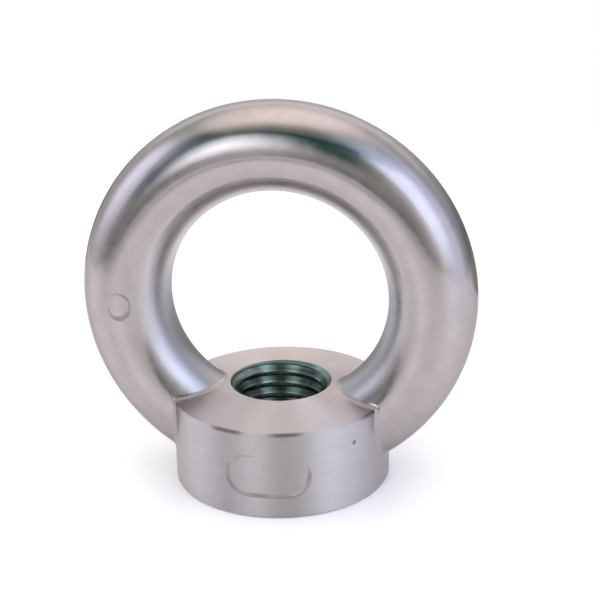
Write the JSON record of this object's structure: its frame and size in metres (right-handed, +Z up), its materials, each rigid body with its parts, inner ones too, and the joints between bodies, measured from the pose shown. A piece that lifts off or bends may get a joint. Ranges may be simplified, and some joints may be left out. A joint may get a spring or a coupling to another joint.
{
  "type": "lifting eye nut",
  "caption": "One-piece lifting eye nut: a round-bar ring rising from a round collar with a tapped bore, to screw onto a stud and take a shackle or hook.",
  "frame": {"origin": "centre of the seating face, on the axis of the thread, which is also the centre of the base", "axes": "+Z up along the thread's axis, from the seating face to the ring; +X across the ring's width, so the ring stands in the XZ plane; +Y through the eye"},
  "size_m": [0.063, 0.035, 0.062],
  "materials": {
    "stainless_steel": "polished ring, satin turned collar"
  },
  "bodies": {
    "root": {"eye_nut": "stainless_steel"}
  },
  "joints": []
}
